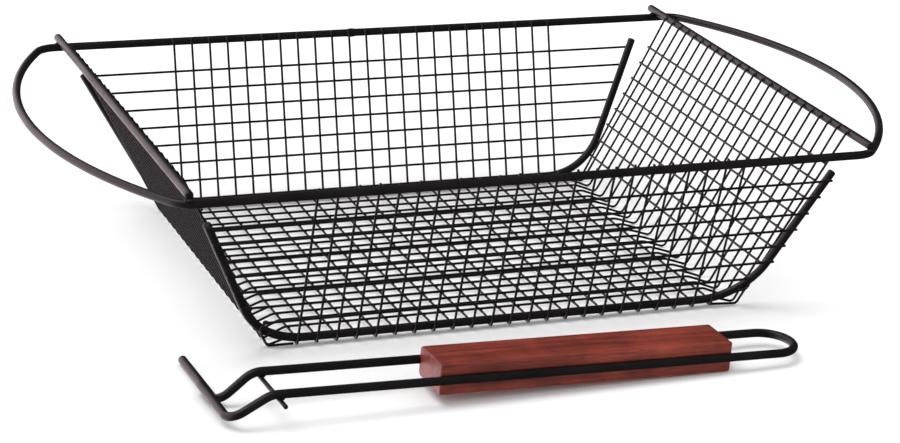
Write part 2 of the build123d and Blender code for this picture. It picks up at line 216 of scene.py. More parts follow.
def link_object(name, data):
    ob = bpy.data.objects.new(name, data)
    bpy.context.scene.collection.objects.link(ob)
    return ob


def carry(normal, tangent, new_tangent):
    """Turn a normal by the rotation that takes one tangent to the next."""
    v = np.cross(tangent, new_tangent)
    s = np.linalg.norm(v)
    if s <= 1e-9:
        return normal
    axis = v / s
    a = atan2(s, float(tangent @ new_tangent))
    return (normal * cos(a) + np.cross(axis, normal) * sin(a)
            + axis * (axis @ normal) * (1 - cos(a)))


def path_frames(points, closed):
    """Tangents, normals and binormals that turn as little as possible along the path."""
    n = len(points)
    if closed:
        pairs = [((i + 1) % n, (i - 1) % n) for i in range(n)]
    else:
        pairs = [(min(i + 1, n - 1), max(i - 1, 0)) for i in range(n)]
    tangents = np.array([unit(points[i] - points[j]) for i, j in pairs])
    reference = vec(0, 0, 1) if abs(tangents[0][2]) < 0.9 else vec(1, 0, 0)
    normals = [unit(np.cross(tangents[0], reference))]
    for before, here in zip(tangents, tangents[1:]):
        normal = carry(normals[-1], before, here)
        normals.append(unit(normal - here * (normal @ here)))
    normals = np.array(normals)
    binormals = np.cross(tangents, normals)
    if closed:
        # take up the leftover twist evenly
        q = carry(normals[-1], tangents[-1], tangents[0])
        twist = atan2(float(np.cross(q, normals[0]) @ tangents[0]), float(q @ normals[0]))
        for i in range(n):
            a = twist * i / n
            normals[i], binormals[i] = (normals[i] * cos(a) + binormals[i] * sin(a),
                                        -normals[i] * sin(a) + binormals[i] * cos(a))
    return tangents, normals, binormals


def ring(centre, normal, binormal, r, sides):
    angles = np.arange(sides) * 2 * pi / sides
    return centre + r * (np.outer(np.cos(angles), normal) + np.outer(np.sin(angles), binormal))


def skin(n_rings, sides, closed):
    """Quads between neighbouring rings."""
    faces = []
    for i in range(n_rings if closed else n_rings - 1):
        a, b = i * sides, (i + 1) % n_rings * sides
        for k in range(sides):
            l = (k + 1) % sides
            faces.append((a + k, a + l, b + l, b + k))
    return faces


def closed_tube(points, radius_at, sides):
    _, normals, binormals = path_frames(points, True)
    rings = [ring(p, n, b, radius_at(p), sides) for p, n, b in zip(points, normals, binormals)]
    return np.vstack(rings), skin(len(rings), sides, True)


def trim_start(stations, depth):
    """Shorten a list of (centre, normal, binormal) at its start by depth."""
    done = 0.0
    keep = list(stations)
    while len(keep) > 2:
        length = np.linalg.norm(keep[1][0] - keep[0][0])
        if done + length > depth + 1e-6:
            break
        done += length
        keep.pop(0)
    centre, normal, binormal = keep[0]
    rest = depth - done
    if rest > 1e-6:
        keep[0] = (centre + unit(keep[1][0] - centre) * rest, normal, binormal)
    return keep


def open_tube(path, radius, sides, end_round):
    """Round rod along a path, its sawn ends edge-rounded by end_round * radius."""
    points = np.array(path, float)
    tangents, normals, binormals = path_frames(points, False)
    edge = radius * end_round
    steps = 3
    cap = [(edge * sin(pi / 2 * i / steps), radius - edge + edge * cos(pi / 2 * i / steps))
           for i in range(1, steps + 1)]
    # the path ends where the rod ends, so the body stops short by the edge round
    body = trim_start(zip(points, normals, binormals), edge)
    body = trim_start(body[::-1], edge)[::-1]
    rings = []
    centre, normal, binormal = body[0]
    for d, r in reversed(cap):
        rings.append(ring(centre - tangents[0] * d, normal, binormal, r, sides))
    for station in body:
        rings.append(ring(*station, radius, sides))
    centre, normal, binormal = body[-1]
    for d, r in cap:
        rings.append(ring(centre + tangents[-1] * d, normal, binormal, r, sides))
    n_rings = len(rings)
    verts = np.vstack(rings + [points[0][None], points[-1][None]])
    faces = skin(n_rings, sides, False)
    start_tip, end_tip = n_rings * sides, n_rings * sides + 1
    last = (n_rings - 1) * sides
    for k in range(sides):
        l = (k + 1) % sides
        faces.append((start_tip, l, k))
        faces.append((end_tip, last + k, last + l))
    return verts, faces


def blob_mesh(centre, axes, radii, n_around, n_down):
    """Small rounded lump with three axes (rows) and three radii."""
    verts = [centre + axes[2] * radii[2]]
    for i in range(1, n_down):
        th = pi * i / n_down
        for k in range(n_around):
            ph = 2 * pi * k / n_around
            verts.append(centre + axes[0] * radii[0] * sin(th) * cos(ph)
                         + axes[1] * radii[1] * sin(th) * sin(ph) + axes[2] * radii[2] * cos(th))
    verts.append(centre - axes[2] * radii[2])
    faces = [(0, 1 + k, 1 + (k + 1) % n_around) for k in range(n_around)]
    for i in range(n_down - 2):
        a, b = 1 + i * n_around, 1 + (i + 1) * n_around
        for k in range(n_around):
            l = (k + 1) % n_around
            faces.append((a + k, b + k, b + l, a + l))
    last = len(verts) - 1
    a = 1 + (n_down - 2) * n_around
    faces += [(last, a + (k + 1) % n_around, a + k) for k in range(n_around)]
    return np.array(verts), faces


def axes_from(x, z):
    """Rows: x, y, z axes, square to each other."""
    z = unit(z)
    x = unit(x - z * (x @ z))
    return np.array([x, np.cross(z, x), z])


# ------------------------------------------------------------------ materials
def new_material(name):
    material = bpy.data.materials.new(name)
    material.use_nodes = True
    nt = material.node_tree
    nt.nodes.clear()
    output = nt.nodes.new("ShaderNodeOutputMaterial")
    shader = nt.nodes.new("ShaderNodeBsdfPrincipled")
    nt.links.new(shader.outputs["BSDF"], output.inputs["Surface"])
    return material, nt, shader


def add_node(nt, kind, **settings):
    """New node. Settings that name an input set its value, the others are properties."""
    node = nt.nodes.new(kind)
    for key, value in settings.items():
        if key in node.inputs:
            node.inputs[key].default_value = value
        else:
            setattr(node, key, value)
    return node


def add_ramp(nt, factor, stops):
    """Colour ramp through (position, rgb) stops; returns its colour output."""
    node = nt.nodes.new("ShaderNodeValToRGB")
    elements = node.color_ramp.elements
    while len(elements) < len(stops):
        elements.new(0.5)
    for element, (position, colour) in zip(elements, stops):
        element.position = position
        element.color = (*colour, 1)
    nt.links.new(factor, node.inputs["Fac"])
    return node.outputs["Color"]


def grey(value):
    return (value,) * 3


def coated_steel(name, base, lift, rough, peel_scale, bump, seed):
    """Satin dark coating on steel: faint orange peel, softly varying gloss, rare scuffs.
    lift is how much brighter the light patches are; seed moves the pattern."""
    material, nt, shader = new_material(name)
    link = nt.links.new
    coords = add_node(nt, "ShaderNodeTexCoord")
    place = add_node(nt, "ShaderNodeMapping", Location=(seed * 0.37, seed * 0.21, seed * 0.53))
    link(coords.outputs["Object"], place.inputs["Vector"])

    def noise(**settings):
        node = add_node(nt, "ShaderNodeTexNoise", **settings)
        link(place.outputs["Vector"], node.inputs["Vector"])
        return node.outputs["Fac"]
    patches = noise(Scale=38.0, Detail=3.0, Roughness=0.55)
    peel = noise(Scale=peel_scale, Detail=2.0, Roughness=0.6)
    scuffs = noise(Scale=210.0, Detail=5.0, Roughness=0.7)
    colour = add_ramp(nt, patches, [(0.30, base), (0.72, tuple(b * lift for b in base))])
    worn = add_ramp(nt, scuffs, [(0.66, grey(0)), (0.80, grey(1))])
    mix = add_node(nt, "ShaderNodeMix", data_type="RGBA")
    link(worn, mix.inputs["Factor"])
    link(colour, mix.inputs["A"])
    scuff_gain = (2.6, 2.4, 2.3)
    mix.inputs["B"].default_value = (*(b * lift * g for b, g in zip(base, scuff_gain)), 1)
    link(mix.outputs["Result"], shader.inputs["Base Color"])
    gloss = add_ramp(nt, patches, [(0.25, grey(rough - 0.06)), (0.75, grey(rough + 0.09))])
    link(gloss, shader.inputs["Roughness"])
    relief = add_node(nt, "ShaderNodeBump", Strength=bump, Distance=0.0002)
    link(peel, relief.inputs["Height"])
    link(relief.outputs["Normal"], shader.inputs["Normal"])
    shader.inputs["Specular IOR Level"].default_value = 0.26
    return material


mat_rod = coated_steel("coated_rod", base=(0.0062, 0.0052, 0.0054), lift=1.9, rough=0.36,
                       peel_scale=900.0, bump=0.35, seed=1)
mat_wire = coated_steel("coated_mesh_wire", base=(0.0058, 0.0049, 0.0051), lift=1.8,
                        rough=0.42, peel_scale=1500.0, bump=0.30, seed=2)
mat_handle = coated_steel("coated_handle_rod", base=(0.0058, 0.0050, 0.0052), lift=1.8,
                          rough=0.36, peel_scale=900.0, bump=0.30, seed=3)
mat_weld = coated_steel("coated_weld", base=(0.0080, 0.0070, 0.0072), lift=2.2, rough=0.46,
                        peel_scale=1700.0, bump=0.55, seed=4)

# finishes: body the piece rides on, its slot, its material
ROD_FINISH = ("basket", "coated_rod", mat_rod)
WIRE_FINISH = ("basket", "coated_mesh", mat_wire)
HANDLE_FINISH = ("handle", "handle_rod_coating", mat_handle)


def finish_piece(piece, finish, *nodes):
    body, slot, material = finish
    piece.data.materials.append(material)
    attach(piece, body)
    if nodes:
        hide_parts(*nodes)


def coated_piece(node, finish, parts):
    finish_piece(parts.make(f"{node}_coated"), finish, node)


def tube_piece(node, finish, path, radius, sides, end_round):
    parts = MeshParts()
    parts.add(*open_tube(path, radius, sides, end_round))
    coated_piece(node, finish, parts)


# ------------------------------------------------------------------ side wall geometry
# Transverse wires pass inside the rim and outside the bottom rod, which sets the lean.
# (UP_Y, UP_Z) runs up the wall, (OUT_Y, OUT_Z) is square to it, outward.
wall_dy, wall_dz = RIM_HALF_Y - BOTTOM_ROD_HALF_Y, RIM_Z - BOTTOM_ROD_Z
WALL_LEAN = atan2(wall_dz, wall_dy) + asin(2 * TOUCH / hypot(wall_dy, wall_dz))
UP_Y, UP_Z = cos(WALL_LEAN), sin(WALL_LEAN)
OUT_Y, OUT_Z = UP_Z, -UP_Y


def wall_point(x, drop, offset, side):
    """Point on a side wall: drop down the wall from the rim, offset outward."""
    return vec(x, side * (RIM_HALF_Y - TOUCH * OUT_Y - UP_Y * drop + OUT_Y * offset),
               RIM_Z - TOUCH * OUT_Z - UP_Z * drop + OUT_Z * offset)


class Arm:
    """One end of a side rod: bends out of the bottom run and climbs the wall."""

    def __init__(self, side, sx, corner_x, top_z, spread):
        z_at_rim = RIM_Z - TOUCH * OUT_Z + OUT_Z * ARM_OFFSET

        def at(x, z):
            return wall_point(sx * x, (z_at_rim - z) / UP_Z, ARM_OFFSET, side)
        foot = at(corner_x, BOTTOM_ROD_Z)
        self.top = at(corner_x + spread * (top_z - BOTTOM_ROD_Z), top_z)
        self.up = unit(self.top - foot)
        out = vec(sx, 0, 0)
        turn = acos(float(out @ self.up))
        tangent, pull = ARM_BEND_R * tan(turn / 2), 4 / 3 * tan(turn / 4) * ARM_BEND_R
        self.run_end = vec(sx * (corner_x - tangent),
                           side * (BOTTOM_ROD_HALF_Y - ROD_INSET * OUT_Y),
                           BOTTOM_ROD_Z - ROD_INSET * OUT_Z)
        self.start = foot + self.up * tangent
        self.poles = [self.run_end, self.run_end + out * pull,
                      self.start - self.up * pull, self.start]
        self.fine = np.array(bezier(*self.poles, 400))

    def x_at(self, z):
        if z >= self.start[2]:
            return self.start[0] + self.up[0] / self.up[2] * (z - self.start[2])
        return float(np.interp(z, self.fine[:, 2], self.fine[:, 0]))


ARMS = {
    (-1, -1): Arm(-1, -1, ARM_LEFT_X, ARM_LEFT_TOP_Z, ARM_LEAN),
    (-1, 1): Arm(-1, 1, ARM_RIGHT_X, ARM_RIGHT_TOP_Z, ARM_LEAN),
    (1, -1): Arm(1, -1, ARM_BACK_LEFT_X, ARM_LEFT_TOP_Z, ARM_BACK_LEFT_LEAN),
    (1, 1): Arm(1, 1, ARM_RIGHT_X, ARM_RIGHT_TOP_Z, ARM_LEAN),
}                                        # keyed by (side, sx)

# ------------------------------------------------------------------ basket floor geometry
# From the bottom rod a transverse wire climbs inward, then bends into a shallow sagging arc.
SAG_R = (MESH_EDGE_Y ** 2 + SAG ** 2) / (2 * SAG)
SAG_CENTRE_Z = MESH_EDGE_Z - SAG + SAG_R
SAG_SLOPE = asin(MESH_EDGE_Y / SAG_R)
LEAVE_Y, LEAVE_Z = BOTTOM_ROD_HALF_Y - TOUCH * sin(RISE), BOTTOM_ROD_Z - TOUCH * cos(RISE)
rise_length = (((MESH_EDGE_Z - LEAVE_Z) + tan(SAG_SLOPE) * (LEAVE_Y - MESH_EDGE_Y))
               / (sin(RISE) + tan(SAG_SLOPE) * cos(RISE)))
knee_y, knee_z = LEAVE_Y - cos(RISE) * rise_length, LEAVE_Z + sin(RISE) * rise_length
knee_tangent = RISE_BEND_R * tan((RISE + SAG_SLOPE) / 2)
KNEE_START = (knee_y + cos(RISE) * knee_tangent, knee_z - sin(RISE) * knee_tangent)
KNEE_END = (knee_y - cos(SAG_SLOPE) * knee_tangent, knee_z - sin(SAG_SLOPE) * knee_tangent)
knee_angle = pi / 2 - (RISE - SAG_SLOPE) / 2
KNEE_MID = (KNEE_START[0] - sin(RISE) * RISE_BEND_R + RISE_BEND_R * cos(knee_angle),
            KNEE_START[1] - cos(RISE) * RISE_BEND_R + RISE_BEND_R * sin(knee_angle))


def sag_z(y):
    return SAG_CENTRE_Z - sqrt(SAG_R ** 2 - y ** 2)


def transverse_z(y):
    """Height of the transverse wires; on the rise, raised so a wire on top clears it."""
    y = abs(y)
    if y <= MESH_EDGE_Y:
        return sag_z(y)
    if y <= KNEE_END[0]:
        return MESH_EDGE_Z + tan(SAG_SLOPE) * (y - MESH_EDGE_Y)
    return LEAVE_Z + (LEAVE_Y - y) * tan(RISE) + (WIRE_D + GAP) * (1 / cos(RISE) - 1)


# ------------------------------------------------------------------ end panel geometry
class EndPanel:
    """Leaning end wall whose wires lie against the outside of the crossbar."""

    def __init__(self, sx, bend_x, run_x, outer_bend_y):
        self.sx, self.bend_x, self.run_x, self.outer_bend_y = sx, bend_x, run_x, outer_bend_y
        d = hypot(BAR_HALF_X - bend_x, BAR_Z - LONG_Z)
        a = atan2(BAR_Z - LONG_Z, BAR_HALF_X - bend_x) + asin(TOUCH / d)
        self.up_x, self.up_z, self.in_x, self.in_z = cos(a), sin(a), -sin(a), cos(a)
        self.reach = sqrt(d ** 2 - TOUCH ** 2)
        self.top = (BAR_Z + TIP_ABOVE_BAR - LONG_Z) / self.up_z

    def at(self, up, offset=0.0):
        """Outward distance and height of a point up the panel, offset inward."""
        return (self.bend_x + self.up_x * up + self.in_x * offset,
                LONG_Z + self.up_z * up + self.in_z * offset)

    def corner(self, z_run, run_x):
        """Place up the panel of the bottom corner, so that its bend just reaches LONG_Z."""
        up = 0.0
        for _ in range(30):
            x, z = self.at(up)
            dip = atan2(z_run - z, x - run_x)
            turn = dip + atan2(self.up_z, self.up_x)
            low = z + LONG_BEND_R * tan(turn / 2) * sin(dip) - LONG_BEND_R * (1 - cos(dip))
            up -= (low - LONG_Z) / self.up_z
        return up

    def outer_y(self, up):
        """Y of the outermost wire, which fans out toward the top."""
        return self.outer_bend_y + (OUTER_TOP_Y - self.outer_bend_y) * up / self.reach

    def inward(self):
        return vec(self.sx * self.in_x, 0, self.in_z)


LEFT = EndPanel(-1, PANEL_LEFT_X, RUN_LEFT_X, OUTER_BEND_LEFT_Y)
RIGHT = EndPanel(1, PANEL_RIGHT_X, RUN_RIGHT_X, OUTER_BEND_RIGHT_Y)


# ------------------------------------------------------------------ heavy rods
def rim_half(sx, bow):
    """One end of the rim, from the back rail round to the front rail."""
    bow_x, bow_y, r = bow
    rc = BOW_CORNER_R

    def at(x, y):
        return vec(sx * x, y, RIM_Z)
    rail, mid, tangent = [], [], []
    for side in (1, -1):
        y = side * (RIM_HALF_Y - rc)
        x = bow_x + sqrt((r - rc) ** 2 - (y - bow_y) ** 2)
        a = atan2(y - bow_y, x - bow_x)
        m = (a + side * pi / 2) / 2
        rail.append(at(x, side * RIM_HALF_Y))
        mid.append(at(x + rc * cos(m), y + rc * sin(m)))
        tangent.append(at(bow_x + r * cos(a), bow_y + r * sin(a)))
    return join(sample_line(at(0, RIM_HALF_Y), rail[0], 5),
                sample_arc(rail[0], mid[0], tangent[0], 5),
                sample_arc(tangent[0], at(bow_x + r, bow_y), tangent[1], 1.0),
                sample_arc(tangent[1], mid[1], rail[1], 5),
                sample_line(rail[1], at(0, -RIM_HALF_Y), 5))


def on_back_rail(p):
    return abs(p[1] - RIM_HALF_Y) < 1


def rim_radius(p):
    if on_back_rail(p) and abs(p[0] - WELD_X) < WELD_REACH:
        return ROD_R + WELD_HEIGHT * exp(-((p[0] - WELD_X) / WELD_SPREAD) ** 2)
    return ROD_R


def build_rim():
    right, left = rim_half(1, RIGHT_BOW), rim_half(-1, LEFT_BOW)
    path = np.vstack([right, left[::-1][1:-1]])
    dense = []
    for p, q in zip(path, np.roll(path, -1, 0)):
        dense.append(p)
        near_weld = abs((p[0] + q[0]) / 2 - WELD_X) < WELD_FINE_REACH
        if near_weld and on_back_rail(p) and on_back_rail(q):
            dense += [p + (q - p) * k / WELD_SPLITS for k in range(1, WELD_SPLITS)]
    parts = MeshParts()
    parts.add(*closed_tube(np.array(dense), rim_radius, ROD_SIDES))
    coated_piece("rim_wire", ROD_FINISH, parts)


def build_crossbars():
    for label, sx in (("left", -1), ("right", 1)):
        x = sx * BAR_HALF_X
        path = sample_line(vec(x, BAR_FRONT_Y, BAR_Z), vec(x, BAR_BACK_Y, BAR_Z), 6)
        tube_piece(f"{label}_crossbar", ROD_FINISH, path, ROD_R, ROD_SIDES, 0.55)


def build_side_rods():
    for label, side in (("front", -1), ("back", 1)):
        left, right = ARMS[side, -1], ARMS[side, 1]
        path = join(sample_line(left.top, left.start, 5), bezier(*left.poles, 22)[::-1],
                    sample_line(left.run_end, right.run_end, 6), bezier(*right.poles, 22),
                    sample_line(right.start, right.top, 5))
        tube_piece(f"{label}_side_rod", ROD_FINISH, path, ROD_R, ROD_SIDES, 0.4)


build_rim()
build_crossbars()
build_side_rods()


# ------------------------------------------------------------------ mesh wires
def transverse_half(x, side, cut):
    """From the tip above the rim to the edge of the sagging floor; cut shortens the tip."""
    def at(y, z):
        return vec(x, side * y, z)

    def on_bottom_rod(angle):
        return at(BOTTOM_ROD_HALF_Y + TOUCH * cos(angle), BOTTOM_ROD_Z + TOUCH * sin(angle))
    top = wall_point(x, (RIM_Z - TOUCH * OUT_Z - (TIP_Z - cut)) / UP_Z, 0, side)
    wrap_start = at(BOTTOM_ROD_HALF_Y + TOUCH * OUT_Y, BOTTOM_ROD_Z + TOUCH * OUT_Z)
    wrap_end = at(LEAVE_Y, LEAVE_Z)
    wrap_mid = on_bottom_rod((WALL_LEAN - pi - RISE) / 2)
    return join(sample_line(top, wrap_start, 9),
                sample_arc(wrap_start, wrap_mid, wrap_end, 12),
                sample_line(wrap_end, at(*KNEE_START), 9),
                sample_arc(at(*KNEE_START), at(*KNEE_MID), at(*KNEE_END), 10),
                sample_line(at(*KNEE_END), at(MESH_EDGE_Y, MESH_EDGE_Z), 9))


def build_transverse_wires():
    parts = MeshParts()
    for x in TRANS_X:
        cuts = rng.uniform(0, 0.9, 2)
        hang = [vec(x, y, sag_z(y)) for y in np.linspace(-MESH_EDGE_Y, MESH_EDGE_Y, 22)]
        path = join(list(transverse_half(x, -1, cuts[0])), hang,
                    list(transverse_half(x, 1, cuts[1]))[::-1])
        parts.add(*open_tube(path, WIRE_R, WIRE_SIDES, WIRE_END_ROUND))
    coated_piece("transverse_wires", WIRE_FINISH, parts)


def long_path(y, cuts):
    z_run = transverse_z(y) + WIRE_D + GAP
    halves = []
    for p, cut in zip((LEFT, RIGHT), cuts):
        top_x, top_z = p.at(p.top - cut)
        low_x, low_z = p.at(p.corner(z_run, p.run_x))
        halves.append([(p.sx * top_x, y * LONG_FAN, top_z), (p.sx * low_x, y, low_z),
                       (p.sx * p.run_x, y, z_run)])
    return fillet_path(halves[0] + halves[1][::-1],
                       [LONG_BEND_R, DIP_BEND_R, DIP_BEND_R, LONG_BEND_R], 9.0, 9.0)


def outer_path(p, side, cut):
    """Outermost end wire: runs in under the bottom rod, ending at the last transverse wire."""
    end_x = abs(TRANS_X[0 if p.sx < 0 else -1]) + WIRE_D + GAP
    end_z = BOTTOM_ROD_Z - TOUCH
    top, low = p.top - cut, p.corner(end_z, end_x)
    (top_x, top_z), (low_x, low_z) = p.at(top), p.at(low)
    corners = [(p.sx * top_x, side * p.outer_y(top), top_z),
               (p.sx * low_x, side * p.outer_y(low), low_z),
               (p.sx * end_x, side * BOTTOM_ROD_HALF_Y, end_z)]
    return fillet_path(corners, [LONG_BEND_R], 9.0, 9.0)


def build_longitudinal_wires():
    parts = MeshParts()
    for y in INNER_Y:
        path = long_path(y, rng.uniform(0, 0.8, 2))
        parts.add(*open_tube(path, WIRE_R, WIRE_SIDES, WIRE_END_ROUND))
    for panel in (LEFT, RIGHT):
        for side in (-1, 1):
            path = outer_path(panel, side, rng.uniform(0, 0.8))
            parts.add(*open_tube(path, WIRE_R, WIRE_SIDES, WIRE_END_ROUND))
    coated_piece("longitudinal_wires", WIRE_FINISH, parts)


def curl(x_start, sx, drop, n=22):
    """Curled end of the lowest front wire, turning down in the plane of the wall."""
    angles = [radians(CURL_TURN) * i / n for i in range(n + 1)]
    return [wall_point(x_start + sx * CURL_R * sin(a), drop + CURL_R * (1 - cos(a)),
                       WIRE_STEP, -1) for a in angles]


def build_side_wires():
    """Wires along the front and back walls. Returns, by side, rows of
    (x of the two arm welds, y, z, drop from the rim)."""
    rows = {-1: [], 1: []}
    for label, side, first, pitch in SIDE_WALLS:
        for j in range(N_SIDE):
            drop = first + pitch * j
            _, y, z = wall_point(0, drop, WIRE_STEP, side)
            if side == -1 and j == N_SIDE - 1:
                x0, x1 = -CURL_LEFT_X, CURL_RIGHT_X
                left, right = curl(x0, -1, drop), curl(x1, 1, drop)
                path = join(left[::-1], sample_line(left[0], right[0], 10), right)
                weld_xs = (x0 - CURL_WELD_OUT, x1 + CURL_WELD_OUT)
            else:
                weld_xs = (ARMS[side, -1].x_at(z), ARMS[side, 1].x_at(z))
                x0, x1 = weld_xs[0] - SIDE_OVERHANG, weld_xs[1] + SIDE_OVERHANG
                path = sample_line(vec(x0, y, z), vec(x1, y, z), 10)
            rows[side].append((weld_xs, y, z, drop))
            tube_piece(f"{label}_panel_wire_{j + 1}", WIRE_FINISH, path, WIRE_R, WIRE_SIDES,
                       WIRE_END_ROUND)
    return rows


def build_cross_wires():
    """Wires across the end panels. Returns rows of (panel, place up it, x, z)."""
    rows = []
    for label, panel in (("left", LEFT), ("right", RIGHT)):
        for j in range(N_CROSS):
            up = panel.reach - CROSS_FIRST - CROSS_PITCH * j
            x, z = panel.at(up, WIRE_STEP)
            node = f"{label}_cross_wire_{j + 1}"
            half = round(float(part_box(node)[1][1]) * 1000, 2)
            rows.append((panel, up, x, z))
            path = sample_line(vec(panel.sx * x, -half, z), vec(panel.sx * x, half, z), 10)
            tube_piece(node, WIRE_FINISH, path, WIRE_R, WIRE_SIDES, WIRE_END_ROUND)
    return rows


build_transverse_wires()
build_longitudinal_wires()
side_rows = build_side_wires()
cross_rows = build_cross_wires()

# ------------------------------------------------------------------ basket welds
# radii: along the bead, across it, height
SPOT_SIZE = (1.05, 1.05, 0.62)
RIM_BEAD, BOTTOM_BEAD = (1.9, 1.25, 0.75), (1.5, 1.15, 0.6)
BAR_BEAD, ARM_BEAD = (1.8, 1.2, 0.75), (1.9, 1.2, 0.7)
JOINT_BEAD, JOINT_SIDE_BEAD = (2.3, 2.3, 0.95), (1.5, 1.2, 1.1)
JOINT_SIDE_X, JOINT_SIDE_DROP = 2.0, 0.35
ROD_BEAD_OFFSET = ROD_R + 0.1
ALONG_X, ALONG_Y, ALONG_Z = vec(1, 0, 0), vec(0, 1, 0), vec(0, 0, 1)


def wall_out(side):
    return vec(0, side * OUT_Y, OUT_Z)


def add_spot(parts, centre, along, normal):
    k = 1 + rng.uniform(-0.12, 0.12)
    radii = (SPOT_SIZE[0] * k, SPOT_SIZE[1] * k, SPOT_SIZE[2])
    parts.add(*blob_mesh(centre, axes_from(along, normal), radii, 8, 5))


def add_bead(parts, centre, axes, radii, spread):
    radii = np.array(radii) * (1 + rng.uniform(-spread, spread, 3))
    parts.add(*blob_mesh(centre, axes, radii, 14, 8))


def weld_spots():
    """Spots where mesh wires cross: floor, side walls, end panels."""
    parts = MeshParts()
    for x in TRANS_X:
        for y in INNER_Y:
            add_spot(parts, vec(x, y, transverse_z(y) + WIRE_R + GAP / 2), ALONG_X, ALONG_Z)
    for side in (-1, 1):
        for _, _, _, drop in side_rows[side]:
            _, y, z = wall_point(0, drop, WIRE_R, side)
            for x in TRANS_X:
                add_spot(parts, vec(x, y, z), ALONG_X, wall_out(side))
    for panel, up, x, z in cross_rows:
        fan = [v * (1 + (LONG_FAN - 1) * up / panel.reach) for v in INNER_Y]
        for y in fan + [-panel.outer_y(up), panel.outer_y(up)]:
            centre = vec(panel.sx * (x - panel.in_x * WIRE_R), y, z - panel.in_z * WIRE_R)
            add_spot(parts, centre, ALONG_Y, panel.inward())
    return parts


def weld_beads():
    parts = MeshParts()

    def bead(centre, along, normal, radii):
        add_bead(parts, centre, axes_from(along, normal), radii, 0.1)
    # transverse wires on the rim and round the bottom rods
    for side in (-1, 1):
        out = wall_out(side)
        below = unit(vec(0, side * (1 + OUT_Y) / 2, (OUT_Z - 1) / 2))
        for x in TRANS_X:
            bead(vec(x, side * RIM_HALF_Y, RIM_Z) - out * ROD_BEAD_OFFSET,
                 vec(0, side * UP_Y, UP_Z), out, RIM_BEAD)
            bead(vec(x, side * BOTTOM_ROD_HALF_Y, BOTTOM_ROD_Z) + below * ROD_BEAD_OFFSET,
                 vec(0, side * UP_Z, -UP_Y), below, BOTTOM_BEAD)
    # longitudinal wires on the crossbars
    for panel in (LEFT, RIGHT):
        inward = panel.inward()
        for y in [v * LONG_FAN for v in INNER_Y] + [-OUTER_TOP_Y, OUTER_TOP_Y]:
            bead(vec(panel.sx * BAR_HALF_X, y, BAR_Z) + inward * ROD_BEAD_OFFSET,
                 vec(panel.sx * panel.up_x, 0, panel.up_z), inward, BAR_BEAD)
    # side wall wires on the side rod arms
    for side in (-1, 1):
        out = wall_out(side)
        for weld_xs, y, z, _ in side_rows[side]:
            for x in weld_xs:
                bead(vec(x, y, z) - out * (WIRE_R + 0.05), ALONG_X, out, ARM_BEAD)
    # crossbars on the rim
    for sx in (-1, 1):
        for side in (-1, 1):
            x, y, z = sx * BAR_HALF_X, side * RIM_HALF_Y, RIM_Z + ROD_R
            bead(vec(x, y, z), ALONG_X, ALONG_Z, JOINT_BEAD)
            for q in (-1, 1):
                bead(vec(x + q * JOINT_SIDE_X, y, z - JOINT_SIDE_DROP), ALONG_Y, ALONG_Z,
                     JOINT_SIDE_BEAD)
    return parts


spots = weld_spots()
beads = weld_beads()
finish_piece(spots.make("mesh_weld_spots"), ("basket", "coated_mesh", mat_weld))
finish_piece(beads.make("frame_weld_beads"), ("basket", "coated_rod", mat_weld))

# ------------------------------------------------------------------ handle
# Built in its own frame: grip centred on the origin, loop at +X, hooked end at -X,
# two rod legs at y = -LEG_Y (near) and +LEG_Y (far). Then laid on the floor.
ROD_SPACING = 32.6
LEG_Y = ROD_SPACING / 2
GRIP_L, GRIP_W, GRIP_T = 181.0, 31.5, 18.0
LOOP_X = 122.0
HOOK_TOP_X, HOOK_X, HOOK_DROP, HOOK_RADII = -188.4, -211.1, 13.1, [15.0, 9.0]
CROSS_END_Y, TAIL_END_Y = 37.2, 80.7     # where the near and the far leg's ends stop
STOP_X, STOP_Y0, STOP_Y1, STOP_WIRE_D = -183.0, -25.8, 18.4, 2.6
HANDLE_X, HANDLE_Y, HANDLE_YAW = 4.4, -205.7, 1.70
HOOK_BEAD_FROM, HOOK_BEAD_PITCH, HOOK_BEAD_OUT = 6.0, 2.4, 0.95
HOOK_BEAD, STOP_BEAD = (2.0, 1.25, 0.85), (1.9, 1.2, 0.9)

# the far leg's end lies diagonally below the near leg's
tail_step = (ROD_D + 0.05) / sqrt(2)
tail_x, tail_z = HOOK_X + tail_step, -HOOK_DROP - tail_step


def handle_placement():
    """Matrix that rests the handle on its tail and the right-hand end of the grip."""
    tilt = atan2(-GRIP_T / 2 - (tail_z - ROD_R), GRIP_L / 2 - tail_x)
    place = (Matrix.Translation((HANDLE_X, HANDLE_Y, 0))
             @ Matrix.Rotation(radians(HANDLE_YAW), 4, "Z") @ Matrix.Rotation(tilt, 4, "Y"))
    lift = -(place @ Vector((GRIP_L / 2, 0, -GRIP_T / 2)))[2] + 0.02
    return Matrix.Translation((0, 0, lift)) @ place


placement = handle_placement()
placement_np = np.array(placement)


def laid(points):
    points = np.asarray(points, float)
    return points @ placement_np[:3, :3].T + placement_np[:3, 3]


def build_handle_rod():
    loop = sample_arc(vec(LOOP_X, LEG_Y, 0), vec(LOOP_X + LEG_Y, 0, 0),
                      vec(LOOP_X, -LEG_Y, 0), 6)
    near = fillet_path([(LOOP_X, -LEG_Y, 0), (HOOK_TOP_X, -LEG_Y, 0),
                        (HOOK_X, -LEG_Y, -HOOK_DROP), (HOOK_X, CROSS_END_Y, -HOOK_DROP)],
                       HOOK_RADII, 6.0, 5.0)
    far = fillet_path([(LOOP_X, LEG_Y, 0), (HOOK_TOP_X, LEG_Y, 0),
                       (tail_x, LEG_Y, tail_z), (tail_x, TAIL_END_Y, tail_z)],
                      HOOK_RADII, 6.0, 5.0)
    path = laid(join(far[::-1], loop, near))
    tube_piece("handle_rod", HANDLE_FINISH, path, ROD_R, 24, 0.3)


